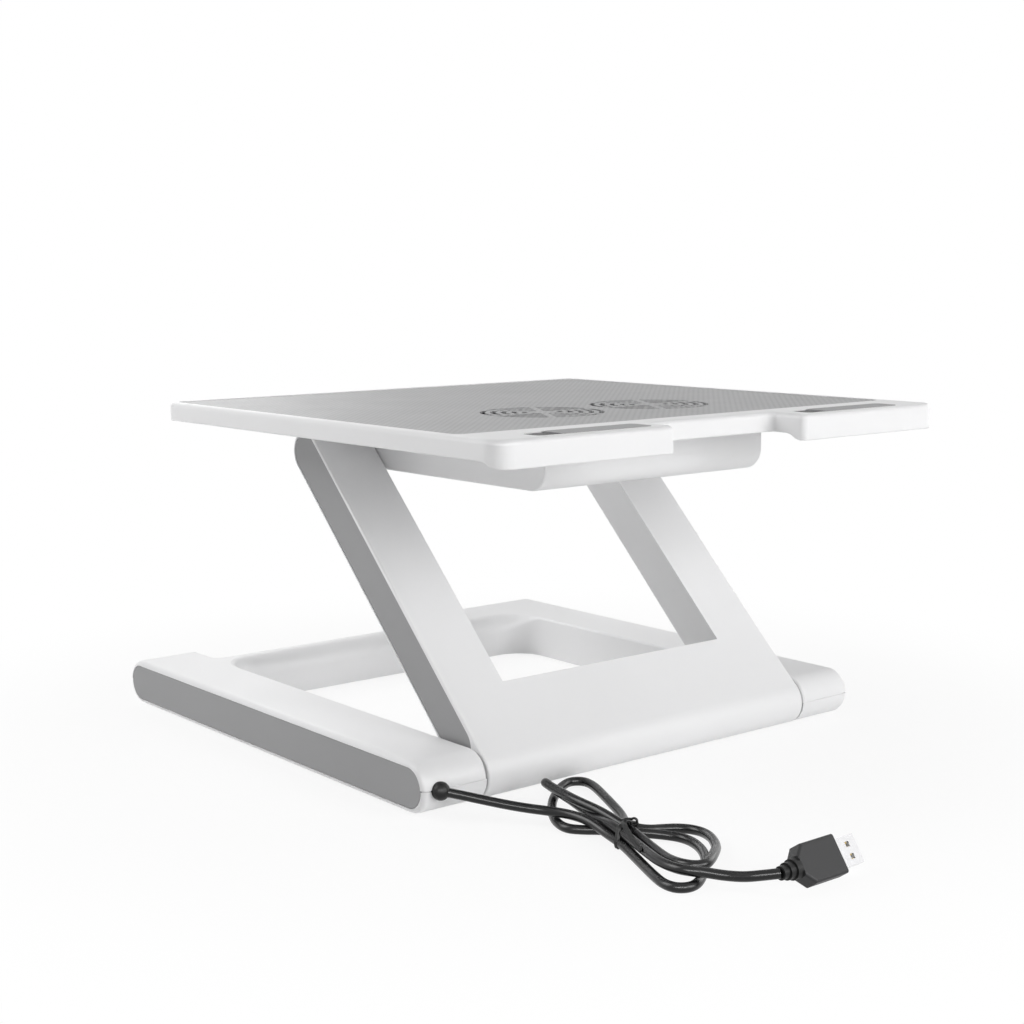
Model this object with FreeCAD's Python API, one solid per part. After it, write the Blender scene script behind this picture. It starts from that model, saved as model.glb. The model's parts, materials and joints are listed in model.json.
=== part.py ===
"""Folding desk stand: a base frame, a lift frame of two arms and a level platform with two fans.

Millimetres. X runs to the viewer's right, Y to the rear and Z up. The origin is on the floor, under
the middle of the stand as it stands open. Every height and depth follows from the sizes below.
"""
import FreeCAD
import Part
import math
import os

Vector = FreeCAD.Vector

# Base frame
base_width = 280.0
base_length = 280.0
rail_height = 24.0
rail_width = 35.0
foot_stand = 1.0
foot_radius = 7.0
foot_seat = 1.5
foot_inset = 26.0
outer_edge_round = 3.0
rail_edge_round = 1.5
crossbar_edge_round = 10.0
parting_step = 0.2
parting_groove = 0.8
parting_groove_height = 0.7
crossbar_depth = 13.0
recess_depth = 34.0
recess_width = 165.0
recess_round = 6.0
inner_corner_round = 19.0
inlay_border = 2.6
inlay_pocket = 1.2
inlay_sink = 0.2
inlay_gap = 0.3

# Lift frame
lift_angle = 44.7
arm_length = 192.0
arm_thickness = 22.0
arm_width = 32.5
panel_reach = 37.0
side_clearance = 1.0
arm_inlay_start = 15.0
arm_inlay_border = 1.4
arm_edge_round = 1.0
pin_radius = 4.0
pin_grip = 14.0
pin_clearance = 0.05
pin_end_clearance = 0.3

# Platform
platform_width = 280.0
platform_reach = 202.0
platform_tail = 79.5
platform_thickness = 9.4
platform_lift = 13.7
platform_corner_round = 9.0
platform_edge_round = 2.5
lip_depth = 20.0
lip_drop = 3.0
lip_flat = 2.0
lip_slope = 10.0
lip_gap = 82.0
lip_round = 3.0
underside_edge_round = 0.8
panel_margin = 4.0
panel_front_margin = 12.0
panel_corner_round = 6.0
panel_pocket = 2.0
panel_thickness = 1.6
panel_fit = 0.3
pad_pocket_length = 65.0
pad_pocket_width = 14.0
pad_pocket_depth = 2.0
pad_inset = 57.7
pad_setback = 11.5
pad_thickness = 2.2
pad_corner_round = 3.0
finger_gap = 13.0

# Fan housing under the platform
housing_front = 148.5
housing_drop = 9.4
housing_front_round = 11.0
housing_edge_round = 1.0
fan_reach = 104.0
fan_wall = 4.5
fan_web = 8.0
fan_floor = 2.0
fan_boss_radius = 14.0
fan_boss_height = 4.0
fan_strut_width = 3.5
fan_strut_count = 4
fan_strut_turn = 45.0
guard_ring_count = 3
guard_ring_width = 1.6
rotor_gap = 0.3
rotor_hub_radius = 14.5
rotor_height = 11.0
rotor_tip_gap = 1.5
blade_count = 7
blade_thickness = 1.2
blade_pitch = 40.0
blade_overlap = 1.0
ring_margin = 1.0
ring_slot = 2.6
ring_bar = 2.4
ring_count = 5
ring_spoke_width = 3.2
ring_spoke_count = 6

# Cord and plug
cord_radius = 2.1
bend_share = 0.45
gland_radius = 4.2
gland_neck_radius = 2.8
gland_neck = 6.0
gland_inset = 8.5
gland_stand = 1.0
hank_height = 10.0
waist_left = -100.5
waist_right = -80.5
waist_front = -206.0
waist_rear = -168.0
lobe_length = 70.0
near_lobe_width = 42.0
near_lobe_x = -88.0
near_lobe_y = -225.0
near_lobe_turn = 41.0
far_lobe_width = 38.0
far_lobe_x = -79.0
far_lobe_y = -146.0
far_lobe_turn = 48.0
tie_y = -191.5
tie_width = 3.0
tie_thickness = 1.0
plug_x = -76.5
plug_y = -271.0
plug_width = 16.4
plug_thickness = 7.6
plug_length = 22.4
plug_taper = 4.0
plug_edge_round = 1.2
plug_roll = 55.0
plug_shell_width = 12.0
plug_shell_thickness = 4.5
plug_shell_length = 12.0
plug_shell_wall = 0.4
shell_window = 2.2
shell_window_spacing = 5.0
shell_window_reach = 7.0
tongue_gap = 0.4
tongue_setback = 1.0
tongue_drop = 0.1
relief_length = 9.0
relief_steps = 3
relief_step = 0.7

# Places that follow from the sizes
half_width = base_width / 2
rail_radius = rail_height / 2
rail_inner = half_width - rail_width
arm_outer = rail_inner - side_clearance
arm_inner = arm_outer - arm_width
housing_half = arm_inner - side_clearance
arm_run = arm_length * math.cos(math.radians(lift_angle))
arm_rise = arm_length * math.sin(math.radians(lift_angle))
overhang = platform_reach - arm_run - rail_radius
base_front = (overhang - base_length) / 2
base_rear = base_front + base_length
pivot_y = base_front + rail_radius
pivot_z = foot_stand + rail_radius
top_pivot_y = pivot_y + arm_run
top_pivot_z = pivot_z + arm_rise
platform_front = top_pivot_y - platform_reach
platform_rear = top_pivot_y + platform_tail
underside = top_pivot_z + platform_lift
platform_top = underside + platform_thickness
recess_front = platform_front + lip_depth
crossbar_rear = base_rear - recess_depth
crossbar_front = crossbar_rear - crossbar_depth
housing_bottom = top_pivot_z - housing_drop
fan_y = top_pivot_y - fan_reach
fan_bore_radius = (housing_half - fan_wall - fan_web / 2) / 2
fan_spacing = 2 * fan_bore_radius + fan_web
guard_ring_pitch = (fan_bore_radius - fan_boss_radius) / (guard_ring_count + 1)
far = 2 * (base_width + base_length)


def box(x0, x1, y0, y1, z0, z1):
    """A block between two corners."""
    return Part.makeBox(x1 - x0, y1 - y0, z1 - z0, Vector(x0, y0, z0))


def cylinder_x(x0, x1, y, z, radius):
    """A round bar along X."""
    return Part.makeCylinder(radius, x1 - x0, Vector(x0, y, z), Vector(1, 0, 0))


def cylinder_z(x, y, z0, z1, radius):
    """An upright round bar."""
    return Part.makeCylinder(radius, z1 - z0, Vector(x, y, z0))


def segment(a, b):
    """A straight edge."""
    return Part.LineSegment(a, b).toShape()


def arc(a, middle, b):
    """A circular edge through three points."""
    return Part.Arc(a, middle, b).toShape()


def prism(edges, direction):
    """The closed outline of the edges, pushed along a direction."""
    return Part.Face(Part.Wire(edges)).extrude(direction)


def capsule_x(x0, x1, start, end, radius):
    """A bar with round ends: start and end are the (y, z) centres of its ends."""
    along = Vector(0, end[0] - start[0], end[1] - start[1]).normalize()
    across = Vector(0, -along.z, along.y)
    first = Vector(x0, start[0], start[1])
    last = Vector(x0, end[0], end[1])
    edges = [
        segment(first + across * radius, last + across * radius),
        arc(last + across * radius, last + along * radius, last - across * radius),
        segment(last - across * radius, first - across * radius),
        arc(first - across * radius, first - along * radius, first + across * radius),
    ]
    return prism(edges, Vector(x1 - x0, 0, 0))


def rounded_slab(x0, x1, y0, y1, z0, z1, radius):
    """A block whose four upright edges are rounded."""
    block = box(x0, x1, y0, y1, z0, z1)
    upright = [e for e in block.Edges if abs(e.tangentAt(e.FirstParameter).z) > 0.9]
    return block.makeFillet(radius, upright)


def edges_where(shape, test):
    """The edges whose middle point and direction pass the test."""
    chosen = []
    for edge in shape.Edges:
        middle = edge.valueAt((edge.FirstParameter + edge.LastParameter) / 2)
        along = edge.tangentAt((edge.FirstParameter + edge.LastParameter) / 2)
        if test(middle, along):
            chosen.append(edge)
    return chosen


def mirrored(shape):
    """The same piece on the other side of the middle plane."""
    return shape.mirror(Vector(0, 0, 0), Vector(1, 0, 0))


def arm_point(along, across):
    """A point of the lift frame's side view: along the arm from the base hinge, and across it."""
    angle = math.radians(lift_angle)
    y = pivot_y + along * math.cos(angle) - across * math.sin(angle)
    z = pivot_z + along * math.sin(angle) + across * math.cos(angle)
    return y, z


def blended_edges(shape, chosen):
    """The shape with its chosen edges rounded, each from one radius at its start to another at its end."""
    document = FreeCAD.newDocument("rounding")
    source = document.addObject("Part::Feature", "source")
    source.Shape = shape
    rounded = document.addObject("Part::Fillet", "rounded")
    rounded.Base = source
    rounded.Edges = chosen
    document.recompute()
    return rounded.Shape.Solids[0]


def window_radius(point):
    """Radius of the window's top edge at a point: soft along the crossbar, light along the rails."""
    on_rail = abs(abs(point.x) - rail_inner) < 0.01
    return rail_edge_round if on_rail else crossbar_edge_round


def soft_window(shell):
    """The upper shell with the top edge of its window rounded."""
    chosen = []
    for number, edge in enumerate(shell.Edges, 1):
        middle = edge.valueAt((edge.FirstParameter + edge.LastParameter) / 2)
        along = edge.tangentAt((edge.FirstParameter + edge.LastParameter) / 2)
        in_window = abs(middle.x) < rail_inner + 0.01 and middle.y < crossbar_front + 0.01
        if in_window and middle.z > pivot_z + 1 and abs(along.z) < 0.9:
            first = edge.valueAt(edge.FirstParameter)
            last = edge.valueAt(edge.LastParameter)
            chosen.append((number, window_radius(first), window_radius(last)))
    return blended_edges(shell, chosen)


def base_block(inset):
    """Both rails and the rear crossbar in one, drawn in by the inset on its outside."""
    radius = rail_radius - inset
    block = capsule_x(
        -half_width + inset, half_width - inset,
        (base_front + rail_radius, pivot_z), (base_rear - rail_radius, pivot_z), radius,
    )
    side = half_width - inset
    outline = edges_where(block, lambda m, t: abs(abs(m.x) - side) < 0.01)
    block = block.makeFillet(outer_edge_round, outline)
    window = rounded_slab(
        -rail_inner, rail_inner, base_front - far, crossbar_front, -far, far, inner_corner_round,
    )
    notch = rounded_slab(
        -rail_inner, -rail_inner + recess_width, crossbar_rear, base_rear + far, -far, far, recess_round,
    )
    return block.cut(window).cut(notch)


def rail_inlay(gap, thickness, depth):
    """The flat strip on the left rail's outer face, or the pocket that it lies in."""
    radius = rail_radius - inlay_border - gap
    return capsule_x(
        -half_width + depth - thickness, -half_width + depth,
        (base_front + rail_radius, pivot_z), (base_rear - rail_radius, pivot_z), radius,
    )


def foot_places():
    """Name and plan position of each foot."""
    side = half_width - rail_width / 2
    places = {}
    for end, y in (("front", base_front + foot_inset), ("rear", base_rear - foot_inset)):
        places["foot_" + end + "_left"] = (-side, y)
        places["foot_" + end + "_right"] = (side, y)
    return places


def gland_place():
    """Centre of the cord's outlet on the left rail's front end."""
    return Vector(-half_width + gland_inset, base_front, pivot_z)


def build_base():
    """The base: two half shells, side strips, feet, hinge pins and the cord's outlet."""
    pockets = rail_inlay(0.0, far, inlay_pocket)
    pockets = pockets.fuse(mirrored(pockets))
    bores = cylinder_x(
        -rail_inner - pin_grip - pin_end_clearance, -rail_inner + 1,
        pivot_y, pivot_z, pin_radius + pin_clearance,
    )
    bores = bores.fuse(mirrored(bores))
    outlet = gland_place()
    hole = Part.makeCylinder(
        gland_neck_radius + pin_clearance, gland_neck + pin_end_clearance + far,
        outlet + Vector(0, gland_neck + pin_end_clearance, 0), Vector(0, -1, 0),
    )
    seat = Part.makeSphere(gland_radius + pin_clearance, outlet - Vector(0, gland_stand, 0))
    upper = base_block(0.0).common(box(-far, far, -far, far, pivot_z, far))
    upper = soft_window(upper.Solids[0])
    groove = box(-far, far, -far, far, pivot_z, pivot_z + parting_groove_height)
    upper = upper.cut(groove.cut(base_block(parting_groove)))
    lower = base_block(parting_step).common(box(-far, far, -far, far, -far, pivot_z))
    upper = upper.cut(pockets).cut(bores).cut(hole).cut(seat)
    lower = lower.cut(pockets).cut(bores).cut(hole).cut(seat)
    nodes = {}
    shell_bottom = foot_stand + parting_step
    for name, (x, y) in foot_places().items():
        lower = lower.cut(cylinder_z(x, y, -far, shell_bottom + foot_seat, foot_radius + pin_clearance))
        nodes[name] = cylinder_z(x, y, 0.0, shell_bottom + foot_seat, foot_radius)
    nodes["base_upper_shell"] = upper
    nodes["base_lower_shell"] = lower
    strip = rail_inlay(inlay_gap, inlay_pocket - inlay_sink, inlay_pocket)
    nodes["rail_inlay_left"] = strip
    nodes["rail_inlay_right"] = mirrored(strip)
    pin = cylinder_x(-rail_inner - pin_grip, -arm_outer + pin_grip, pivot_y, pivot_z, pin_radius)
    nodes["base_hinge_pin_left"] = pin
    nodes["base_hinge_pin_right"] = mirrored(pin)
    nodes["cable_gland"] = build_gland(outlet)
    return nodes


def build_gland(outlet):
    """A ball grommet, half sunk into the rail's front end, with a neck behind it."""
    centre = outlet - Vector(0, gland_stand, 0)
    neck = Part.makeCylinder(gland_neck_radius, gland_stand + gland_neck, centre, Vector(0, 1, 0))
    return neck.fuse(Part.makeSphere(gland_radius, centre)).removeSplitter()


def lift_profile(x, reach):
    """Side view of the lift frame up to a reach along the arm, tapering from the hinge barrel."""
    half = arm_thickness / 2
    lean = math.asin((rail_radius - half) / panel_reach)
    tangent = (rail_radius * math.sin(lean), rail_radius * math.cos(lean))

    def point(along, across):
        return Vector(x, *arm_point(along, across))

    edges = [
        segment(point(tangent[0], tangent[1]), point(panel_reach, half)),
        arc(point(tangent[0], -tangent[1]), point(-rail_radius, 0), point(tangent[0], tangent[1])),
        segment(point(panel_reach, -half), point(tangent[0], -tangent[1])),
    ]
    if reach > panel_reach:
        edges.append(segment(point(panel_reach, half), point(reach, half)))
        edges.append(arc(point(reach, half), point(reach + half, 0), point(reach, -half)))
        edges.append(segment(point(reach, -half), point(panel_reach, -half)))
    else:
        edges.append(segment(point(panel_reach, half), point(panel_reach, -half)))
    return Part.Face(Part.Wire(Part.__sortEdges__(edges)))


def arm_inlay(gap, thickness, depth):
    """The strip on the left arm's outer face, or the pocket that it lies in."""
    radius = arm_thickness / 2 - arm_inlay_border - gap
    return capsule_x(
        -arm_outer + depth - thickness, -arm_outer + depth,
        arm_point(arm_inlay_start, 0), arm_point(arm_length, 0), radius,
    )


def build_lift():
    """The lift frame: a hinge barrel and panel across the front, and an arm at each side."""
    arm = lift_profile(-arm_outer, arm_length).extrude(Vector(arm_width, 0, 0))
    outline = edges_where(arm, lambda m, t: abs(m.x + arm_outer) < 0.01)
    arm = arm.makeFillet(arm_edge_round, outline)
    panel = lift_profile(-arm_inner, panel_reach).extrude(Vector(2 * arm_inner, 0, 0))
    frame = panel.fuse([arm, mirrored(arm)]).removeSplitter()
    pocket = arm_inlay(0.0, far, inlay_pocket)
    pocket = pocket.common(box(-arm_outer - 1, 0, -far, far, -far, far))
    frame = frame.cut(pocket).cut(mirrored(pocket))
    lower = cylinder_x(
        -arm_outer - 1, -arm_outer + pin_grip + pin_end_clearance,
        pivot_y, pivot_z, pin_radius + pin_clearance,
    )
    upper = cylinder_x(
        -arm_inner - pin_grip - pin_end_clearance, -arm_inner + 1,
        top_pivot_y, top_pivot_z, pin_radius + pin_clearance,
    )
    for bore in (lower, upper):
        frame = frame.cut(bore).cut(mirrored(bore))
    strip = arm_inlay(inlay_gap, inlay_pocket - inlay_sink, inlay_pocket)
    return {
        "lift_frame": frame,
        "arm_inlay_left": strip,
        "arm_inlay_right": mirrored(strip),
    }


def platform_outline(inset):
    """Plan of the platform at height zero: rounded corners and two lips beside a gap at the front."""
    side = platform_width / 2 - inset
    slab = rounded_slab(
        -side, side, platform_front + inset, platform_rear - inset, 0.0, 1.0, platform_corner_round - inset,
    )
    half_gap = lip_gap / 2 + inset
    gap = box(-half_gap, half_gap, platform_front - far, recess_front + inset, -1.0, 2.0)
    gap_corners = edges_where(
        gap, lambda m, t: abs(t.z) > 0.9 and abs(m.y - recess_front - inset) < 0.01,
    )
    slab = slab.cut(gap.makeFillet(lip_round, gap_corners))
    front = platform_front + inset + 0.01
    lip_corners = edges_where(
        slab, lambda m, t: abs(t.z) > 0.9 and abs(abs(m.x) - half_gap) < 0.01 and m.y < front,
    )
    return slab.makeFillet(lip_round, lip_corners)


def platform_plate(z0, z1):
    """The platform's plan between two heights."""
    bottom = [f for f in platform_outline(0.0).Faces if abs(f.CenterOfMass.z) < 0.001][0]
    bottom.translate(Vector(0, 0, z0))
    return bottom.extrude(Vector(0, 0, z1 - z0))


def vent_panel_slab(gap, z0, z1):
    """The large inlaid panel of the platform, or its pocket."""
    side = platform_width / 2 - panel_margin - gap
    front = recess_front + panel_front_margin + gap
    rear = platform_rear - panel_margin - gap
    return rounded_slab(-side, side, front, rear, z0, z1, panel_corner_round)


def lip_strip(middle, start, gap, z0, z1):
    """A lip's grip strip, or its pocket: the strip leaves a finger gap at the pocket's left end."""
    y = platform_front + pad_setback
    reach = pad_pocket_length / 2 - gap
    side = pad_pocket_width / 2 - gap
    return rounded_slab(middle - reach + start, middle + reach, y - side, y + side, z0, z1, pad_corner_round)


def lip_centres():
    """Name and X of the middle of each lip's strip pocket."""
    middle = platform_width / 2 - pad_inset
    return {"left": -middle, "right": middle}


def lip_profile():
    """Side view of the lips' thicker front edge: a flat, then a soft S up to the plate's underside."""
    x = -far
    low = underside - lip_drop
    start = platform_front + lip_flat
    end = start + lip_slope
    middle = Vector(x, (start + end) / 2, (low + underside) / 2)
    radius = (lip_slope ** 2 + lip_drop ** 2) / (4 * lip_drop)
    turn = math.asin(lip_slope / 2 / radius) / 2
    over = radius * math.sin(turn)
    rise = radius * (1 - math.cos(turn))
    edges = [
        segment(Vector(x, platform_front - 1, low), Vector(x, start, low)),
        arc(Vector(x, start, low), Vector(x, start + over, low + rise), middle),
        arc(middle, Vector(x, end - over, underside - rise), Vector(x, end, underside)),
        segment(Vector(x, end, underside), Vector(x, end, underside + 1)),
        segment(Vector(x, end, underside + 1), Vector(x, platform_front - 1, underside + 1)),
        segment(Vector(x, platform_front - 1, underside + 1), Vector(x, platform_front - 1, low)),
    ]
    return prism(edges, Vector(2 * far, 0, 0))


def fan_centres():
    """Name and X of each fan."""
    return {"left": -fan_spacing / 2, "right": fan_spacing / 2}


def on_bottom_edge(middle, along):
    """Whether an edge of the plate is on its lower outline, and not a seam across the lips' slope."""
    seam = abs(along.x) > 0.9 and platform_front + 0.5 < middle.y < recess_front - 0.5
    return middle.z < underside + 0.01 and not seam


def build_tray():
    """The platform's white plate, thicker at its two front lips."""
    tray = platform_plate(underside, platform_top)
    lips = platform_plate(underside - lip_drop, underside + 1).common(lip_profile())
    tray = tray.fuse(lips).removeSplitter()
    rim = edges_where(tray, lambda m, t: abs(m.z - platform_top) < 0.01)
    tray = tray.makeFillet(platform_edge_round, rim)
    tray = tray.makeFillet(underside_edge_round, edges_where(tray, on_bottom_edge))
    tray = tray.cut(vent_panel_slab(0.0, platform_top - panel_pocket, far))
    for x in lip_centres().values():
        tray = tray.cut(lip_strip(x, 0.0, 0.0, platform_top - pad_pocket_depth, far))
    for x in fan_centres().values():
        tray = tray.cut(cylinder_z(x, fan_y, underside - 1, far, fan_bore_radius))
    return tray


def fan_grille(x):
    """The ring slots over one fan, to be cut from the panel."""
    slots = None
    for ring in range(ring_count):
        outer = fan_bore_radius - ring_margin - ring * (ring_slot + ring_bar)
        ring_cut = cylinder_z(x, fan_y, underside, far, outer)
        ring_cut = ring_cut.cut(cylinder_z(x, fan_y, underside, far, outer - ring_slot))
        slots = ring_cut if slots is None else slots.fuse(ring_cut)
    spoke = box(-far, far, -ring_spoke_width / 2, ring_spoke_width / 2, -far, far)
    for turn in range(ring_spoke_count // 2):
        turned = spoke.copy()
        turned.rotate(Vector(0, 0, 0), Vector(0, 0, 1), turn * 360.0 / ring_spoke_count)
        turned.translate(Vector(x, fan_y, 0))
        slots = slots.cut(turned)
    return slots


def build_vent_panel():
    """The inlaid panel, with ring slots over the fans."""
    seat = platform_top - panel_pocket
    panel = vent_panel_slab(panel_fit, seat, seat + panel_thickness)
    for x in fan_centres().values():
        panel = panel.cut(fan_grille(x))
    return panel


def build_housing():
    """The closed box under the platform, hinged between the arms, with a bore for each fan."""
    front = top_pivot_y - housing_front
    x = -housing_half
    corner = Vector(x, front + housing_front_round, housing_bottom + housing_front_round)
    low = math.sqrt(0.5) * housing_front_round
    rear = top_pivot_y + housing_drop
    rear_turn = Vector(x, top_pivot_y, top_pivot_z)
    edges = [
        segment(Vector(x, front, underside), Vector(x, front, corner.z)),
        arc(Vector(x, front, corner.z), corner - Vector(0, low, low), Vector(x, corner.y, housing_bottom)),
        segment(Vector(x, corner.y, housing_bottom), Vector(x, top_pivot_y, housing_bottom)),
        arc(
            Vector(x, top_pivot_y, housing_bottom),
            rear_turn + Vector(0, math.sqrt(0.5) * housing_drop, -math.sqrt(0.5) * housing_drop),
            Vector(x, rear, top_pivot_z),
        ),
        segment(Vector(x, rear, top_pivot_z), Vector(x, rear, underside)),
        segment(Vector(x, rear, underside), Vector(x, front, underside)),
    ]
    housing = prism(edges, Vector(2 * housing_half, 0, 0))
    outline = edges_where(housing, lambda m, t: abs(abs(m.x) - housing_half) < 0.01 and m.z < underside - 1)
    housing = housing.makeFillet(housing_edge_round, outline)
    bore = cylinder_x(
        -housing_half - 1, -housing_half + pin_grip + pin_end_clearance,
        top_pivot_y, top_pivot_z, pin_radius + pin_clearance,
    )
    housing = housing.cut(bore).cut(mirrored(bore))
    for centre in fan_centres().values():
        housing = housing.cut(cylinder_z(centre, fan_y, housing_bottom - 1, underside + 1, fan_bore_radius))
    return housing


def build_guard(x):
    """The struts, guard rings and boss across a fan's bore, which carry its motor."""
    floor_top = housing_bottom + fan_floor
    ring = cylinder_z(x, fan_y, housing_bottom, floor_top, fan_bore_radius)
    struts = cylinder_z(x, fan_y, housing_bottom, housing_bottom + fan_boss_height, fan_boss_radius)
    for index in range(guard_ring_count):
        outer = fan_boss_radius + (index + 1) * guard_ring_pitch
        guard = cylinder_z(x, fan_y, housing_bottom, floor_top, outer)
        guard = guard.cut(cylinder_z(x, fan_y, housing_bottom, floor_top, outer - guard_ring_width))
        struts = struts.fuse(guard)
    for turn in range(fan_strut_count):
        strut = box(0, fan_bore_radius, -fan_strut_width / 2, fan_strut_width / 2, 0, fan_floor)
        strut.rotate(Vector(0, 0, 0), Vector(0, 0, 1), fan_strut_turn + turn * 360.0 / fan_strut_count)
        strut.translate(Vector(x, fan_y, housing_bottom))
        struts = struts.fuse(strut.common(ring))
    return struts.removeSplitter()


def build_rotor(x):
    """One fan's hub with its pitched blades, sitting over the motor boss."""
    bottom = housing_bottom + fan_boss_height + rotor_gap
    rotor = cylinder_z(0, 0, 0, rotor_height, rotor_hub_radius)
    tip = fan_bore_radius - rotor_tip_gap
    pitch = math.radians(blade_pitch)
    rise = rotor_height / 2 - blade_overlap
    run = rise / math.tan(pitch)
    half = blade_thickness / 2 / math.sin(pitch)
    root = rotor_hub_radius - blade_overlap
    edges = [
        (-run - half, -rise), (-run + half, -rise), (run + half, rise), (run - half, rise),
    ]
    corners = [Vector(root, a, rotor_height / 2 + b) for a, b in edges]
    outline = Part.makePolygon(corners + corners[:1])
    blade = Part.Face(outline).extrude(Vector(tip - root, 0, 0))
    blade = blade.common(cylinder_z(0, 0, 0, rotor_height, tip))
    for turn in range(blade_count):
        copy = blade.copy()
        copy.rotate(Vector(0, 0, 0), Vector(0, 0, 1), turn * 360.0 / blade_count)
        rotor = rotor.fuse(copy)
    rotor.translate(Vector(x, fan_y, bottom))
    return rotor.removeSplitter()


def build_platform():
    """The platform with its panel, pads, fan housing, guards, fans and upper hinge pins."""
    pin = cylinder_x(-arm_inner - pin_grip, -housing_half + pin_grip, top_pivot_y, top_pivot_z, pin_radius)
    nodes = {
        "platform_tray": build_tray(),
        "vent_panel": build_vent_panel(),
        "fan_housing": build_housing(),
        "platform_hinge_pin_left": pin,
        "platform_hinge_pin_right": mirrored(pin),
    }
    for name, x in fan_centres().items():
        nodes["fan_guard_" + name] = build_guard(x)
        nodes["fan_rotor_" + name] = build_rotor(x)
    seat = platform_top - pad_pocket_depth
    for name, x in lip_centres().items():
        nodes["lip_pad_" + name] = lip_strip(x, finger_gap, pin_clearance, seat, seat + pad_thickness)
    return nodes


def lead_points():
    """Route of the cord from its outlet to the tied hank."""
    return [
        Vector(-129.5, -116.5, 12.5),
        Vector(-126.2, -118.6, 11.5),
        Vector(-121.5, -122.5, 10.2),
        Vector(-113.3, -132.9, 8.2),
        Vector(-106.6, -141.9, 7.0),
        Vector(-100.1, -150.4, 6.4),
    ]


def tail_points():
    """Route of the cord from the hank to the plug."""
    return [
        Vector(-103.2, -248.2, 6.6),
        Vector(-98.0, -253.5, 5.6),
        Vector(-94.6, -260.5, 6.2),
        Vector(-91.5, -266.2, 7.6),
        plug_point(-relief_length),
    ]


def plug_point(along):
    """A point on the plug's axis, from the rear of its body."""
    roll = math.radians(plug_roll)
    height = (plug_width / 2 - plug_edge_round) * math.sin(roll)
    height += (plug_thickness / 2 - plug_edge_round) * math.cos(roll)
    return Vector(plug_x + along, plug_y, height + plug_edge_round)


def cord_tube(points):
    """A round cord along straight runs joined by tangent arcs, as large as the runs allow."""
    edges = []
    radii = []
    last = points[0]
    for before, corner, after in zip(points, points[1:], points[2:]):
        back = (before - corner)
        ahead = (after - corner)
        shorter = min(back.Length, ahead.Length)
        back = back.normalize()
        ahead = ahead.normalize()
        turn = math.pi - math.acos(back.dot(ahead))
        setback = bend_share * shorter
        radius = setback / math.tan(turn / 2)
        radii.append(round(radius, 1))
        inward = (back + ahead).normalize()
        centre = corner + inward * math.hypot(setback, radius)
        middle = centre - inward * radius
        edges.append(segment(last, corner + back * setback))
        edges.append(arc(corner + back * setback, middle, corner + ahead * setback))
        last = corner + ahead * setback
    edges.append(segment(last, points[-1]))
    path = Part.Wire(edges)
    start = points[1] - points[0]
    profile = Part.Wire(Part.makeCircle(cord_radius, points[0], start))
    tube = path.makePipeShell([profile], True, False)
    expected = math.pi * cord_radius ** 2 * path.Length
    ratio = round(tube.Volume / expected, 4)
    print("cord radii", radii, "length", round(path.Length, 1), "volume ratio", ratio)
    return tube


def lobe(x, y, width, angle):
    """One flat oval end of the tied hank."""
    oval = Part.Ellipse(Vector(0, 0, 0), lobe_length / 2, width / 2).toShape()
    solid = Part.Face(Part.Wire(oval)).extrude(Vector(0, 0, hank_height))
    solid.rotate(Vector(0, 0, 0), Vector(0, 0, 1), angle)
    solid.translate(Vector(x, y, 0))
    return solid


def build_hank():
    """The outer shape of the tied cord: two oval ends and a narrow waist."""
    waist = box(waist_left, waist_right, waist_front, waist_rear, 0.0, hank_height)
    near_lobe = lobe(near_lobe_x, near_lobe_y, near_lobe_width, near_lobe_turn)
    far_lobe = lobe(far_lobe_x, far_lobe_y, far_lobe_width, far_lobe_turn)
    return waist.fuse([near_lobe, far_lobe]).removeSplitter()


def build_tie():
    """The tie over the hank's waist."""
    outer = box(
        waist_left - tie_thickness, waist_right + tie_thickness, tie_y - tie_width / 2, tie_y + tie_width / 2,
        0.0, hank_height + tie_thickness,
    )
    return outer.cut(box(waist_left, waist_right, -far, far, -1.0, hank_height))


def laid(shape):
    """A piece drawn about the plug's axis, rolled and put where the plug lies."""
    shape.rotate(Vector(0, 0, 0), Vector(1, 0, 0), plug_roll)
    shape.translate(plug_point(0.0))
    return shape


def build_plug():
    """The plug: a stepped relief, a moulded body with a tapered back and an open metal shell."""
    body = box(0, plug_length, -plug_width / 2, plug_width / 2, -plug_thickness / 2, plug_thickness / 2)
    back = edges_where(body, lambda m, t: abs(m.x) < 0.01 and abs(t.z) > 0.9)
    body = body.makeChamfer(plug_taper, back)
    body = body.makeFillet(plug_edge_round, edges_where(body, lambda m, t: abs(t.x) > 0.6))
    shell = box(plug_length, plug_length + plug_shell_length, -plug_shell_width / 2, plug_shell_width / 2,
                -plug_shell_thickness / 2, plug_shell_thickness / 2)
    inner_y = plug_shell_width / 2 - plug_shell_wall
    inner_z = plug_shell_thickness / 2 - plug_shell_wall
    shell = shell.cut(box(plug_length, far, -inner_y, inner_y, -inner_z, inner_z))
    for side in (-1, 1):
        y = side * shell_window_spacing / 2
        start = plug_length + shell_window_reach - shell_window / 2
        shell = shell.cut(box(
            start, start + shell_window, y - shell_window / 2, y + shell_window / 2,
            -plug_shell_thickness, plug_shell_thickness,
        ))
    relief = None
    step = relief_length / relief_steps
    for index in range(relief_steps):
        radius = cord_radius + relief_step * (index + 1)
        ring = cylinder_x(-relief_length + index * step, -relief_length + (index + 1) * step, 0, 0, radius)
        relief = ring if relief is None else relief.fuse(ring)
    tongue = box(
        plug_length, plug_length + plug_shell_length - tongue_setback,
        -inner_y + tongue_gap, inner_y - tongue_gap, -inner_z, -tongue_drop,
    )
    return {
        "plug_relief": laid(relief.removeSplitter()),
        "plug_body": laid(body),
        "plug_shell": laid(shell),
        "plug_tongue": laid(tongue),
    }


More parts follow.
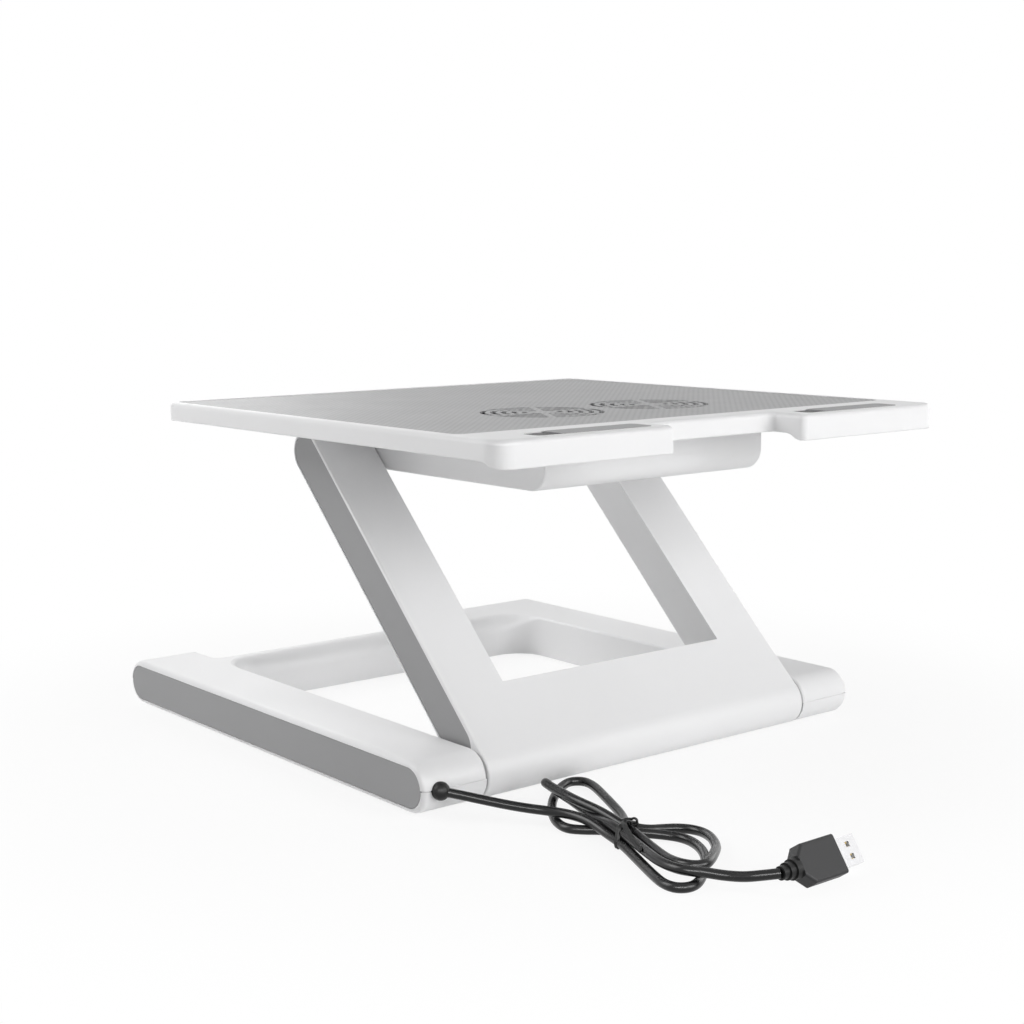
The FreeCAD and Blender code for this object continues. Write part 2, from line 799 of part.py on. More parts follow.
def build_cord():
    """The cord's plain solids and what is on it."""
    nodes = {
        "cord_lead": cord_tube(lead_points()),
        "cord_hank": build_hank(),
        "cord_tail": cord_tube(tail_points()),
        "cord_tie": build_tie(),
    }
    nodes.update(build_plug())
    return nodes


def main():
    os.makedirs("parts", exist_ok=True)
    nodes = {}
    for build in (build_base, build_lift, build_platform, build_cord):
        nodes.update(build())
    for name, shape in nodes.items():
        if shape.ShapeType == "Compound" and len(shape.Solids) == 1:
            shape = shape.Solids[0]
        print(name, shape.ShapeType, shape.isValid(), len(shape.Solids), round(shape.Volume / 1000, 2))
        shape.exportStep("parts/" + name + ".step")


main()
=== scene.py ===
"""Looks of the folding desk stand: materials, cord and its tie, small fittings, light and camera.

Metres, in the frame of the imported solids: X to the viewer's right, Y to the rear, Z up.
"""
import json
import math

import bmesh
import bpy
from mathutils import Matrix, Vector


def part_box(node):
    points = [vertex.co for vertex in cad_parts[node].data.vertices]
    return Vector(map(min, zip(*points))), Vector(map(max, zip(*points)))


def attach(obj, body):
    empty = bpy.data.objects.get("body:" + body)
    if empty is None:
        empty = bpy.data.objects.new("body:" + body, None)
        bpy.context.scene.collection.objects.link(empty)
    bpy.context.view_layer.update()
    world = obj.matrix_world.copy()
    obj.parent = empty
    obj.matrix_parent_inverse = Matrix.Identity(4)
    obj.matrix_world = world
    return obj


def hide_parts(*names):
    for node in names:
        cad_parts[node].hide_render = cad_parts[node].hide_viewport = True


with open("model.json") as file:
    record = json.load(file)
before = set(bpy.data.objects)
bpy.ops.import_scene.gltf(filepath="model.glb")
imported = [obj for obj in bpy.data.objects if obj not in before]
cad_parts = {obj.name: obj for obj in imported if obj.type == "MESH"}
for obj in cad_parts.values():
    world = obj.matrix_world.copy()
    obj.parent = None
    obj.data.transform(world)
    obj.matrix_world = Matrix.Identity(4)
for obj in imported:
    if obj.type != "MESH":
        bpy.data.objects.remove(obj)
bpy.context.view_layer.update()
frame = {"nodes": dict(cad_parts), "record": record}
scene = bpy.context.scene
MM = 0.001

# Camera, solved from the photograph
focal_pixels = 1718.02
image_pixels = 1024
sensor_width = 36.0
camera_place = Vector((-560.9, -701.25, 238.6)) * MM
camera_azimuth = -38.71
camera_elevation = 8.04
camera_roll = -0.41

# Cord and its tie, millimetres and degrees
cord_diameter = 4.2
tie_half_width = 1.15
tie_half_thickness = 0.2
tie_wire_radius = 0.55
tie_eye_radius = 1.3
tie_eye_points = 12
tie_eye_start = 130
tie_eye_step = 27
tie_eye_place = Vector((-87.6, -190.9, 9.4))
tie_eye_right = Vector((0.7803, -0.6254, 0.0))

# Plug, millimetres and degrees
plug_rear = Vector((-76.5, -271.0, 8.43))
plug_roll = 55.0
contact_start = 24.2
contact_length = 7.6
contact_half_width = 0.55
contact_places = (-3.6, -1.25, 1.25, 3.6)
tongue_face = -0.1
contact_stand = 0.06

# Floor and light, lengths in metres
floor_size = 12.0
floor_colour = (0.93, 0.93, 0.93, 1.0)
floor_roughness = 0.9
fade_start = 0.15
fade_end = 0.4
fade_near = 0.86
world_light = 0.05
lamp_aim = Vector((0, 0, 0.1))
strip_height = 0.22

# Small fittings, millimetres
screw_radius = 2.7
screw_height = 0.55
screw_sides = 28
screw_slot_half = 0.42
screw_slot_reach = 1.35
screw_slot_depth = 0.5
screw_slot_draft = 0.85
rail_screw_x = 122.5
rail_screw_rows = (-62.0, 27.0, 116.0)
housing_screw_x = 62.0
housing_screw_rows = (-94.0, 12.0)
# Dark inserts that paint the shade inside each lip's finger gap
well_inset = 0.15
well_drop = 0.4
well_length = 13.0
well_corner = 2.9
well_edge = 0.3


def make_camera():
    """The photograph's camera."""
    azimuth = math.radians(camera_azimuth)
    elevation = math.radians(camera_elevation)
    roll = math.radians(camera_roll)
    back = Vector((
        math.sin(azimuth) * math.cos(elevation),
        -math.cos(azimuth) * math.cos(elevation),
        math.sin(elevation),
    ))
    level = (-back).cross(Vector((0, 0, 1))).normalized()
    upright = level.cross(-back)
    right = level * math.cos(roll) + upright * math.sin(roll)
    up = upright * math.cos(roll) - level * math.sin(roll)
    data = bpy.data.cameras.new("camera")
    data.sensor_width = sensor_width
    data.lens = focal_pixels / image_pixels * sensor_width
    data.clip_start = 0.01
    camera = bpy.data.objects.new("camera", data)
    turn = Matrix((right, up, back)).transposed()
    camera.matrix_world = Matrix.Translation(camera_place) @ turn.to_4x4()
    scene.collection.objects.link(camera)
    scene.camera = camera


class Nodes:
    """A short way to write a material's node tree."""

    def __init__(self, tree):
        self.tree = tree

    def add(self, kind, **values):
        node = self.tree.nodes.new(kind)
        for name, value in values.items():
            if name in node.inputs:
                node.inputs[name].default_value = value
            else:
                setattr(node, name, value)
        return node

    def join(self, source, output, target, socket):
        self.tree.links.new(source.outputs[output], target.inputs[socket])


def new_material(name):
    """A fresh material with its tree, its shader and the object's own coordinates."""
    material = bpy.data.materials.new(name)
    material.use_nodes = True
    tree = Nodes(material.node_tree)
    shader = material.node_tree.nodes["Principled BSDF"]
    place = tree.add("ShaderNodeTexCoord")
    return material, tree, shader, place


def two_colours(tree, source, output, low, high, start, end):
    """A blend from one colour to another as a value rises from start to end."""
    ramp = tree.add("ShaderNodeValToRGB")
    ramp.color_ramp.elements[0].position = start
    ramp.color_ramp.elements[0].color = (*low, 1.0)
    ramp.color_ramp.elements[1].position = end
    ramp.color_ramp.elements[1].color = (*high, 1.0)
    tree.join(source, output, ramp, "Fac")
    return ramp


def uneven_gloss(tree, place, shader, roughness, wear):
    """Roughness that drifts a little over the surface."""
    rub = tree.add("ShaderNodeTexNoise", Scale=38.0, Detail=4.0)
    tree.join(place, "Object", rub, "Vector")
    spread = tree.add("ShaderNodeMapRange")
    spread.inputs["To Min"].default_value = roughness - wear
    spread.inputs["To Max"].default_value = roughness + wear
    tree.join(rub, "Fac", spread, "Value")
    tree.join(spread, "Result", shader, "Roughness")


def plastic(name, colour, roughness, grain_size, grain_depth, tint=0.03, wear=0.05, specular=0.5):
    """Moulded plastic: slight colour drift, uneven gloss and a fine spark-eroded grain."""
    material, tree, shader, place = new_material(name)
    shader.inputs["Specular IOR Level"].default_value = specular
    drift = tree.add("ShaderNodeTexNoise", Scale=9.0, Detail=3.0)
    tree.join(place, "Object", drift, "Vector")
    low = [c * (1.0 - tint) for c in colour]
    high = [min(1.0, c * (1.0 + tint)) for c in colour]
    ramp = two_colours(tree, drift, "Fac", low, high, 0.3, 0.7)
    tree.join(ramp, "Color", shader, "Base Color")
    uneven_gloss(tree, place, shader, roughness, wear)
    grain = tree.add("ShaderNodeTexNoise", Scale=1.0 / grain_size, Detail=2.0)
    tree.join(place, "Object", grain, "Vector")
    bump = tree.add("ShaderNodeBump", Strength=0.35, Distance=grain_depth)
    tree.join(grain, "Fac", bump, "Height")
    tree.join(bump, "Normal", shader, "Normal")
    return material


def dotted_plastic(name, colour, dot_colour, pitch, dot, roughness):
    """Grey plastic with a square field of small shallow dots, over a fine grain."""
    material, tree, shader, place = new_material(name)
    cells = tree.add("ShaderNodeTexVoronoi", voronoi_dimensions="2D", Scale=1.0 / pitch, Randomness=0.0)
    tree.join(place, "Object", cells, "Vector")
    edge = 0.1
    ramp = two_colours(tree, cells, "Distance", dot_colour, colour, dot - edge, dot + edge)
    tree.join(ramp, "Color", shader, "Base Color")
    uneven_gloss(tree, place, shader, roughness, 0.06)
    bowl = tree.add("ShaderNodeMapRange", interpolation_type="SMOOTHSTEP")
    bowl.inputs["From Min"].default_value = dot - edge
    bowl.inputs["From Max"].default_value = dot + edge
    tree.join(cells, "Distance", bowl, "Value")
    grain = tree.add("ShaderNodeTexNoise", Scale=2500.0, Detail=2.0)
    tree.join(place, "Object", grain, "Vector")
    height = tree.add("ShaderNodeMath", operation="MULTIPLY_ADD")
    height.inputs[1].default_value = 0.15
    tree.join(grain, "Fac", height, 0)
    tree.join(bowl, "Result", height, 2)
    bump = tree.add("ShaderNodeBump", Strength=0.5, Distance=0.25 * MM)
    tree.join(height, "Value", bump, "Height")
    tree.join(bump, "Normal", shader, "Normal")
    return material


def ribbed_rubber(name, colour, pitch, roughness):
    """Soft rubber with fine ribs across its length, painted darker in the grooves between the ribs as
    shade.
    """
    material, tree, shader, place = new_material(name)
    scale = math.pi / (10.0 * pitch)
    ribs = tree.add("ShaderNodeTexWave", wave_type="BANDS", bands_direction="X", Scale=scale)
    tree.join(place, "Object", ribs, "Vector")
    # Painted shade: the grooves between the ribs take a darker colour
    low = [c * 0.8 for c in colour]
    ramp = two_colours(tree, ribs, "Fac", low, colour, 0.2, 0.7)
    tree.join(ramp, "Color", shader, "Base Color")
    uneven_gloss(tree, place, shader, roughness, 0.06)
    bump = tree.add("ShaderNodeBump", Strength=0.4, Distance=0.2 * MM)
    tree.join(ribs, "Fac", bump, "Height")
    tree.join(bump, "Normal", shader, "Normal")
    return material


def metal(name, colour, roughness, grain_size, stretch):
    """Metal with fine lines along one direction."""
    material, tree, shader, place = new_material(name)
    shader.inputs["Metallic"].default_value = 1.0
    turn = tree.add("ShaderNodeMapping")
    turn.inputs["Scale"].default_value = stretch
    tree.join(place, "Object", turn, "Vector")
    lines = tree.add("ShaderNodeTexNoise", Scale=1.0 / grain_size, Detail=3.0)
    tree.join(turn, "Vector", lines, "Vector")
    low = [c * 0.9 for c in colour]
    ramp = two_colours(tree, lines, "Fac", low, colour, 0.3, 0.7)
    tree.join(ramp, "Color", shader, "Base Color")
    spread = tree.add("ShaderNodeMapRange")
    spread.inputs["To Min"].default_value = roughness * 0.7
    spread.inputs["To Max"].default_value = roughness * 1.3
    tree.join(lines, "Fac", spread, "Value")
    tree.join(spread, "Result", shader, "Roughness")
    bump = tree.add("ShaderNodeBump", Strength=0.15, Distance=0.05 * MM)
    tree.join(lines, "Fac", bump, "Height")
    tree.join(bump, "Normal", shader, "Normal")
    return material


def make_materials():
    """Every finish by its slot's name, and the finer ones that single pieces have."""
    panel_grey = (0.25, 0.25, 0.255)
    panel_dot = (0.42, 0.42, 0.425)
    return {
        "white_plastic": plastic("white_plastic", (0.83, 0.83, 0.835), 0.42, 0.6 * MM, 0.03 * MM, 0.012),
        "grey_inlay": plastic("grey_inlay", (0.31, 0.31, 0.315), 0.48, 0.35 * MM, 0.04 * MM),
        "grey_panel": dotted_plastic("grey_panel", panel_grey, panel_dot, 3.8 * MM, 0.26, 0.45),
        "grip_rubber": ribbed_rubber("grip_rubber", (0.34, 0.34, 0.345), 2.0 * MM, 0.62),
        "foot_rubber": plastic("foot_rubber", (0.14, 0.14, 0.14), 0.75, 0.5 * MM, 0.08 * MM, 0.1),
        "hinge_steel": metal("hinge_steel", (0.56, 0.56, 0.57), 0.32, 0.2 * MM, (1, 12, 12)),
        "fan_plastic": plastic("fan_plastic", (0.02, 0.02, 0.021), 0.45, 0.5 * MM, 0.04 * MM, 0.1),
        "cord_black": plastic(
            "cord_black", (0.004, 0.004, 0.0044), 0.27, 0.5 * MM, 0.01 * MM,
            tint=0.15, wear=0.03, specular=0.38,
        ),
        "plug_metal": metal("plug_metal", (0.80, 0.80, 0.81), 0.2, 0.15 * MM, (10, 1, 1)),
        "plug_insert": plastic("plug_insert", (0.82, 0.82, 0.80), 0.4, 0.3 * MM, 0.02 * MM, 0.02),
        "gland_rubber": plastic(
            "gland_rubber", (0.004, 0.004, 0.004), 0.45, 0.4 * MM, 0.05 * MM, tint=0.1, specular=0.3,
        ),
        "plug_moulding": plastic(
            "plug_moulding", (0.021, 0.021, 0.022), 0.5, 0.4 * MM, 0.06 * MM, tint=0.08, specular=0.35,
        ),
        # Near-black finish that paints the shade inside the finger gaps
        "painted_shade_well": plastic("painted_shade_well", (0.045, 0.045, 0.046), 0.6, 0.4 * MM, 0.05 * MM, 0.1),
        "gilt": metal("gilt", (0.83, 0.62, 0.27), 0.25, 0.15 * MM, (10, 1, 1)),
        "screw_steel": metal("screw_steel", (0.34, 0.34, 0.35), 0.38, 0.2 * MM, (1, 1, 12)),
    }


def dress_nodes(materials):
    """Gives each solid its slot's finish, and the outlet and the plug their own."""
    own = {
        "cable_gland": "gland_rubber",
        "plug_relief": "gland_rubber",
        "plug_body": "plug_moulding",
    }
    for part in frame["record"]["subparts"]:
        name = part["node"]
        node = frame["nodes"][name]
        node.data.materials.clear()
        node.data.materials.append(materials[own.get(name, part["material_slot"])])


def cord_route():
    """Points of the cord in millimetres: outlet, lead, the tied loops one after another, and the tail."""
    lead = [
        (-129.5, -116.5, 12.5), (-126.2, -118.6, 11.5), (-121.5, -122.5, 10.2), (-113.3, -132.9, 8.2),
        (-106.6, -141.9, 7.0), (-100.1, -150.4, 6.4),
    ]
    first_pass = [
        (-96.0, -161.0, 6.5), (-95.3, -172.0, 6.2), (-96.0, -183.0, 4.0), (-98.5, -195.5, 3.2),
    ]
    inner_loop = [
        (-105.7, -214.0, 2.1), (-113.2, -231.0, 2.1), (-115.8, -238.8, 2.1), (-115.2, -244.6, 2.1),
        (-110.6, -247.6, 2.1), (-104.4, -246.0, 2.1), (-96.2, -240.1, 2.1), (-85.3, -231.2, 2.1),
        (-77.4, -221.8, 2.1), (-72.4, -211.5, 2.1), (-71.8, -203.0, 2.1), (-76.0, -196.2, 2.4),
        (-83.0, -190.8, 3.3),
    ]
    far_loop = [
        (-88.6, -184.4, 3.3), (-91.8, -175.0, 2.4), (-97.2, -169.3, 2.1), (-101.6, -163.0, 2.1),
        (-98.6, -152.7, 2.1), (-90.7, -140.9, 2.1), (-80.2, -129.0, 2.1), (-67.2, -118.3, 2.1),
        (-60.2, -114.6, 2.3), (-56.2, -113.9, 2.4), (-52.9, -116.0, 2.5), (-51.7, -119.6, 2.6),
        (-52.6, -125.0, 2.6), (-55.6, -132.5, 2.6), (-62.1, -146.3, 2.6), (-70.7, -165.0, 2.2),
        (-78.6, -175.5, 2.6),
    ]
    outer_loop = [
        (-81.8, -182.6, 3.5), (-77.0, -188.0, 2.6), (-70.5, -189.8, 2.1), (-63.6, -194.5, 2.2),
        (-60.8, -203.0, 2.6), (-63.6, -212.5, 3.0), (-72.0, -224.0, 3.6), (-82.9, -233.1, 5.6),
        (-90.8, -239.0, 6.4), (-96.2, -241.8, 6.5), (-100.6, -240.0, 6.4), (-102.2, -235.2, 6.2),
        (-101.6, -229.4, 5.6), (-99.7, -222.2, 4.9), (-94.5, -207.6, 4.9),
    ]
    narrow_loop = [
        (-90.4, -194.0, 6.0), (-89.6, -184.0, 7.4), (-88.8, -170.5, 9.2), (-90.0, -156.2, 10.6),
        (-87.8, -143.3, 10.9), (-86.6, -136.4, 11.0), (-85.9, -133.0, 11.3), (-84.8, -129.3, 11.3),
        (-82.0, -127.3, 9.6), (-79.1, -128.2, 7.3), (-77.9, -131.4, 5.6), (-79.0, -135.1, 5.6),
        (-80.6, -139.6, 5.8), (-82.1, -144.4, 6.0), (-86.1, -158.9, 5.4), (-91.8, -174.0, 6.4),
    ]
    last_pass = [
        (-94.4, -184.0, 7.8), (-97.6, -197.7, 6.8), (-104.0, -215.1, 6.7), (-109.5, -229.6, 7.2),
        (-110.6, -239.6, 7.6), (-108.6, -245.2, 7.6),
    ]
    tail = [
        (-103.2, -248.2, 6.6), (-98.0, -253.5, 5.6), (-94.6, -260.5, 6.2), (-91.5, -266.2, 7.6),
        (-85.5, -271.0, 8.43),
    ]
    stretches = (lead, first_pass, inner_loop, far_loop, outer_loop, narrow_loop, last_pass, tail)
    return [Vector(point) * MM for stretch in stretches for point in stretch]


def make_cord(materials):
    """The lead from its outlet through the tied loops to the plug, as one smooth curve."""
    route = cord_route()
    data = bpy.data.curves.new("usb_lead", "CURVE")
    data.dimensions = "3D"
    spline = data.splines.new("NURBS")
    spline.points.add(len(route) - 1)
    for point, place in zip(spline.points, route):
        point.co = (*place, 1.0)
    spline.order_u = 3
    spline.use_endpoint_u = True
    spline.resolution_u = 8
    data.bevel_depth = cord_diameter / 2 * MM
    data.bevel_resolution = 5
    data.use_fill_caps = True
    data.materials.append(materials["cord_black"])
    cord = bpy.data.objects.new("usb_lead", data)
    scene.collection.objects.link(cord)
    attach(cord, "base")
    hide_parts("cord_lead", "cord_hank", "cord_tail")


def finish_piece(name, mesh, material, body):
    """Turns a mesh in millimetres into a piece that rides on a body."""
    bmesh.ops.scale(mesh, vec=(MM, MM, MM), verts=mesh.verts)
    bmesh.ops.recalc_face_normals(mesh, faces=mesh.faces)
    data = bpy.data.meshes.new(name)
    mesh.to_mesh(data)
    mesh.free()
    data.materials.append(material)
    piece = bpy.data.objects.new(name, data)
    scene.collection.objects.link(piece)
    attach(piece, body)
    return piece


def smooth_line(points, steps):
    """Places along a smooth line through the points."""
    ends = [points[0] * 2 - points[1], *points, points[-1] * 2 - points[-2]]
    places = []
    for a, b, c, d in zip(ends, ends[1:], ends[2:], ends[3:]):
        for step in range(steps):
            t = step / steps
            bend = (2 * a - 5 * b + 4 * c - d) * t ** 2 + (3 * b - a - 3 * c + d) * t ** 3
            places.append((2 * b + (c - a) * t + bend) * 0.5)
    places.append(points[-1])
    return places


def tie_section():
    """Half breadth and height of the tie's section: two thin wings on a round wire."""
    wing = tie_half_width
    flat = tie_half_thickness
    wire = tie_wire_radius
    upper = [(wing, flat / 2), (wing * 0.92, flat), (wire, flat), (wire * 0.6, wire * 0.8), (0.0, wire)]
    upper += [(-a, b) for a, b in upper[-2::-1]]
    return upper + [(-a, -b) for a, b in upper]


def add_band(mesh, centres, outward, closed):
    """Adds the tie's section along a line, its flat side facing outward."""
    section = tie_section()
    count = len(centres)
    rings = []
    for index, centre in enumerate(centres):
        before = centres[index - 1] if closed or index > 0 else centre
        after = centres[(index + 1) % count] if closed or index < count - 1 else centre
        along = (after - before).normalized()
        out = (outward[index] - along * outward[index].dot(along)).normalized()
        side = along.cross(out)
        rings.append([mesh.verts.new(centre + side * a + out * b) for a, b in section])
    pairs = list(zip(rings, rings[1:]))
    if closed:
        pairs.append((rings[-1], rings[0]))
    for first, second in pairs:
        for index in range(len(section)):
            other = (index + 1) % len(section)
            mesh.faces.new((first[index], first[other], second[other], second[index]))
    if not closed:
        mesh.faces.new(rings[0])
        mesh.faces.new(reversed(rings[-1]))


def tie_ring():
    """The taut ring round the five strands: its centre line and the way that it faces."""
    start = Vector((-98.0, -193.0, 0.0))
    across = Vector((17.0, 8.8, 0.0)).normalized()
    strands = ((0.0, 3.3), (1.8, 7.35), (9.0, 6.8), (12.8, 3.3), (19.1, 3.2))
    reach = cord_diameter / 2 + tie_wire_radius
    centres = []
    outward = []
    turns = 72
    for turn in range(turns):
        angle = 2 * math.pi * turn / turns
        facing = (math.cos(angle), math.sin(angle))
        held = max(strands, key=lambda s: s[0] * facing[0] + s[1] * facing[1])
        flat = across * (held[0] + reach * facing[0])
        centres.append(start + flat + Vector((0, 0, held[1] + reach * facing[1])))
        outward.append(across * facing[0] + Vector((0, 0, facing[1])))
    return centres, outward


def make_tie(materials):
    """The twist tie: a ring round the strands, a small eye and a tail that lies along the cord."""
    mesh = bmesh.new()
    centres, outward = tie_ring()
    add_band(mesh, centres, outward, True)
    up = Vector((0, 0, 1))
    tail = [
        Vector((-93.2, -190.7, 10.4)), Vector((-95.4, -193.4, 10.2)), Vector((-97.9, -197.6, 9.5)),
        Vector((-101.2, -203.6, 9.1)), Vector((-104.6, -210.6, 8.4)), Vector((-106.9, -215.8, 7.5)),
    ]
    lean = Vector((-0.85, 0.35, 0.5))
    line = smooth_line(tail, 5)
    facing = [up.lerp(lean, index / (len(line) - 1)) for index in range(len(line))]
    add_band(mesh, line, facing, False)
    eye = [Vector((-93.0, -190.5, 10.9)), Vector((-90.9, -190.2, 11.0))]
    facing = [up, up]
    for turn in range(tie_eye_points):
        angle = math.radians(tie_eye_start - tie_eye_step * turn)
        radial = tie_eye_right * math.cos(angle) + up * math.sin(angle)
        eye.append(tie_eye_place + radial * tie_eye_radius)
        facing.append(radial)
    add_band(mesh, eye, facing, False)
    tie = finish_piece("twist_tie", mesh, materials["gland_rubber"], "base")
    for face in tie.data.polygons:
        face.use_smooth = True
    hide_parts("cord_tie")
    return tie


def rounded_outline(x0, x1, y0, y1, radius, steps=6):
    """Plan of a rectangle with rounded corners."""
    corners = (
        (x1 - radius, y1 - radius, 0), (x0 + radius, y1 - radius, 90),
        (x0 + radius, y0 + radius, 180), (x1 - radius, y0 + radius, 270),
    )
    plan = []
    for x, y, start in corners:
        for step in range(steps + 1):
            angle = math.radians(start + 90.0 * step / steps)
            plan.append((x + radius * math.cos(angle), y + radius * math.sin(angle)))
    return plan


def add_slab(mesh, x0, x1, y0, y1, z0, z1, radius, edge):
    """Adds a rounded block whose upper edge is bevelled."""
    levels = ((z0, 0.0), (z1 - edge, 0.0), (z1 - edge * 0.3, edge * 0.3), (z1, edge))
    loops = []
    for z, inset in levels:
        plan = rounded_outline(x0 + inset, x1 - inset, y0 + inset, y1 - inset, radius - inset)
        loops.append([mesh.verts.new((x, y, z)) for x, y in plan])
    for lower, upper in zip(loops, loops[1:]):
        for index in range(len(lower)):
            other = (index + 1) % len(lower)
            mesh.faces.new((lower[index], lower[other], upper[other], upper[index]))
    mesh.faces.new(reversed(loops[0]))
    mesh.faces.new(loops[-1])


def make_finger_well_shade(materials):
    """Dark inserts that paint the shade inside the finger gap at the left end of each lip's pocket."""
    mesh = bmesh.new()
    tray_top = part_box("platform_tray")[1][2] / MM
    for side in ("left", "right"):
        low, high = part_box("lip_pad_" + side)
        right_end = low[0] / MM - well_inset
        left_end = low[0] / MM - well_length + well_inset
        add_slab(
            mesh, left_end, right_end, low[1] / MM + well_inset, high[1] / MM - well_inset,
            low[2] / MM, tray_top - well_drop, well_corner, well_edge,
        )
    finish_piece("finger_well_shade", mesh, materials["painted_shade_well"], "platform")


def make_contacts(materials):
    """The four gilt springs on the plug's tongue."""
    mesh = bmesh.new()
    end = contact_start + contact_length
    top = tongue_face + contact_stand
    for y in contact_places:
        add_slab(
            mesh, contact_start, end, y - contact_half_width, y + contact_half_width,
            tongue_face, top, contact_half_width * 0.6, contact_stand / 2,
        )
    turn = Matrix.Translation(plug_rear) @ Matrix.Rotation(math.radians(plug_roll), 4, "X")
    bmesh.ops.transform(mesh, matrix=turn, verts=mesh.verts)
    return finish_piece("plug_contacts", mesh, materials["gilt"], "base")


def cross_outline():
    """Plan of a screw's cross recess."""
    half = screw_slot_half
    reach = screw_slot_reach
    quarter = [(reach, -half), (reach, half), (half, half)]
    plan = []
    for turn in range(4):
        for x, y in quarter:
            for _ in range(turn):
                x, y = -y, x
            plan.append((x, y))
    return plan


def add_screw(mesh, x, y, z):
    """Adds a domed screw head with a cross recess, hanging head down from a flat underside."""
    profile = ((1.0, 0.0), (1.0, 0.35), (0.93, 0.7), (0.8, 0.93), (0.62, 1.0))
    loops = []
    for share, rise in profile:
        loop = []
        for step in range(screw_sides):
            angle = 2 * math.pi * step / screw_sides
            radius = screw_radius * share
            place = (x + radius * math.cos(angle), y + radius * math.sin(angle), z - screw_height * rise)
            loop.append(mesh.verts.new(place))
        loops.append(loop)
    for first, second in zip(loops, loops[1:]):
        for index in range(screw_sides):
            other = (index + 1) % screw_sides
            mesh.faces.new((first[index], first[other], second[other], second[index]))
    mesh.faces.new(loops[0])
    plan = cross_outline()
    face = z - screw_height
    draft = screw_slot_draft
    mouth = [mesh.verts.new((x + a, y + b, face)) for a, b in plan]
    floor = [mesh.verts.new((x + a * draft, y + b * draft, face + screw_slot_depth)) for a, b in plan]
    for index in range(len(plan)):
        other = (index + 1) % len(plan)
        mesh.faces.new((mouth[index], mouth[other], floor[other], floor[index]))
    mesh.faces.new(floor)
    rims = []
    for loop in (loops[-1], mouth):
        for index in range(len(loop)):
            pair = (loop[index], loop[(index + 1) % len(loop)])
            rims.append(mesh.edges.get(pair) or mesh.edges.new(pair))
    bmesh.ops.triangle_fill(mesh, edges=rims, use_beauty=True)


def make_screws(materials):
    """Screw heads under the rails and under the fan housing."""
    groups = (
        ("base_screws", "base", "base_lower_shell", rail_screw_x, rail_screw_rows),
        ("housing_screws", "platform", "fan_housing", housing_screw_x, housing_screw_rows),
    )
    for name, body, node, x, rows in groups:
        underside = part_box(node)[0][2] / MM
        mesh = bmesh.new()
        for side in (-1, 1):
            for y in rows:
                add_screw(mesh, side * x, y, underside)
        finish_piece(name, mesh, materials["screw_steel"], body)


def camera_or_gloss(tree):
    """The light path, and a value that is one where the camera or a glossy surface looks."""
    ray = tree.add("ShaderNodeLightPath")
    seen = tree.add("ShaderNodeMath", operation="MAXIMUM")
    tree.join(ray, "Is Camera Ray", seen, 0)
    tree.join(ray, "Is Glossy Ray", seen, 1)
    return ray, seen


def make_floor():
    """A pale floor that fades to white away from the object and keeps a light shadow under it."""
    bpy.ops.mesh.primitive_plane_add(size=floor_size, location=(0, 0, 0))
    floor = bpy.context.object
    floor.name = "floor"
    material = bpy.data.materials.new("floor")
    material.use_nodes = True
    tree = Nodes(material.node_tree)
    output = material.node_tree.nodes["Material Output"]
    shader = material.node_tree.nodes["Principled BSDF"]
    shader.inputs["Base Color"].default_value = floor_colour
    shader.inputs["Roughness"].default_value = floor_roughness
    glow = tree.add("ShaderNodeEmission", Strength=1.0)
    _, seen = camera_or_gloss(tree)
    place = tree.add("ShaderNodeNewGeometry")
    away = tree.add("ShaderNodeVectorMath", operation="LENGTH")
    tree.join(place, "Position", away, 0)
    fade = tree.add("ShaderNodeMapRange", interpolation_type="SMOOTHSTEP")
    fade.inputs["From Min"].default_value = fade_start
    fade.inputs["From Max"].default_value = fade_end
    fade.inputs["To Min"].default_value = fade_near
    fade.inputs["To Max"].default_value = 1.0
    tree.join(away, "Value", fade, "Value")
    share = tree.add("ShaderNodeMath", operation="MULTIPLY")
    tree.join(seen, "Value", share, 0)
    tree.join(fade, "Result", share, 1)
    mix = tree.add("ShaderNodeMixShader")
    tree.join(share, "Value", mix, "Fac")
    tree.join(shader, "BSDF", mix, 1)
    tree.join(glow, "Emission", mix, 2)
    tree.join(mix, "Shader", output, "Surface")
    floor.data.materials.append(material)


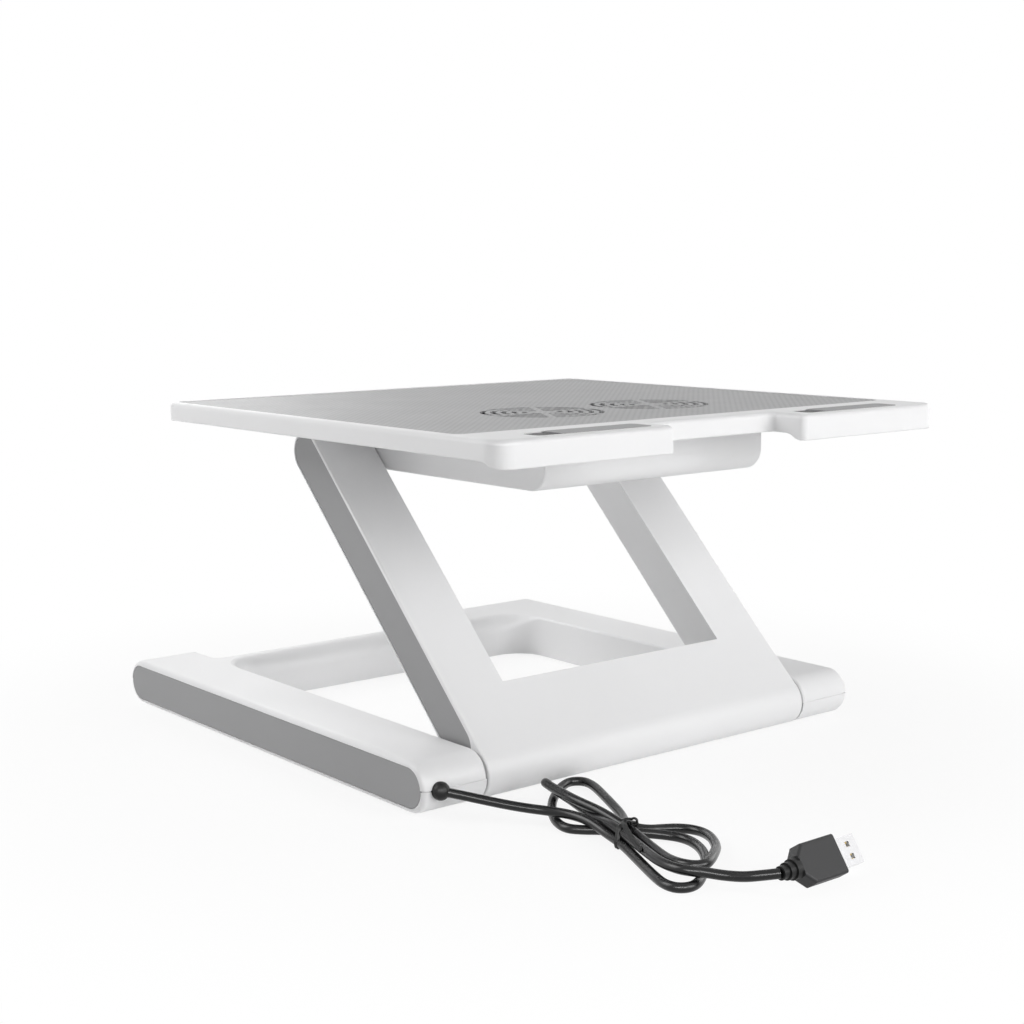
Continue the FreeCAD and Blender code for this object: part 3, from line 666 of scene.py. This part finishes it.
def make_world():
    """White to the camera and to gloss, and only a little even light on the object."""
    world = bpy.data.worlds.new("surround")
    scene.world = world
    world.use_nodes = True
    tree = Nodes(world.node_tree)
    back = world.node_tree.nodes["Background"]
    back.inputs["Color"].default_value = (1.0, 1.0, 1.0, 1.0)
    ray, seen = camera_or_gloss(tree)
    clear = tree.add("ShaderNodeMath", operation="MAXIMUM")
    tree.join(seen, "Value", clear, 0)
    tree.join(ray, "Is Transmission Ray", clear, 1)
    level = tree.add("ShaderNodeMapRange")
    level.inputs["To Min"].default_value = world_light
    level.inputs["To Max"].default_value = 1.0
    tree.join(clear, "Value", level, "Value")
    tree.join(level, "Result", back, "Strength")


def lamp(name, place, size, power):
    """A square soft lamp aimed at the stand."""
    data = bpy.data.lights.new(name, "AREA")
    data.size = size
    data.energy = power
    light = bpy.data.objects.new(name, data)
    light.location = place
    aim = lamp_aim - Vector(place)
    light.rotation_mode = "QUATERNION"
    light.rotation_quaternion = aim.to_track_quat("-Z", "Y")
    scene.collection.objects.link(light)
    return light


def make_lamps():
    """Soft lamps in front, to the right, behind and at the left rear, and a strip seen in gloss only."""
    lamp("front", (0.0, -1.6, 0.6), 1.0, 5.4)
    lamp("front_right", (0.55, -1.5, 0.6), 0.8, 10.0)
    lamp("front_high", (0.2, -1.6, 0.9), 0.8, 4.1)
    lamp("right", (1.6, 0.0, 0.6), 1.0, 5.0)
    lamp("left_rear", (-1.3, 0.95, 0.6), 1.0, 5.0)
    lamp("left_rear_high", (-1.2, 0.9, 1.2), 1.0, 14.6)
    lamp("rear", (0.3, 1.5, 0.9), 1.0, 7.0)
    strip = lamp("gloss_strip", (-0.75, -0.95, 0.48), 1.3, 14.0)
    strip.data.shape = "RECTANGLE"
    strip.data.size_y = strip_height
    strip.visible_diffuse = False


scene.view_settings.view_transform = "Standard"
make_camera()
finishes = make_materials()
dress_nodes(finishes)
cord_fittings = [make_tie(finishes), make_contacts(finishes)]
make_cord(finishes)
make_finger_well_shade(finishes)
make_screws(finishes)
make_floor()
make_world()
make_lamps()
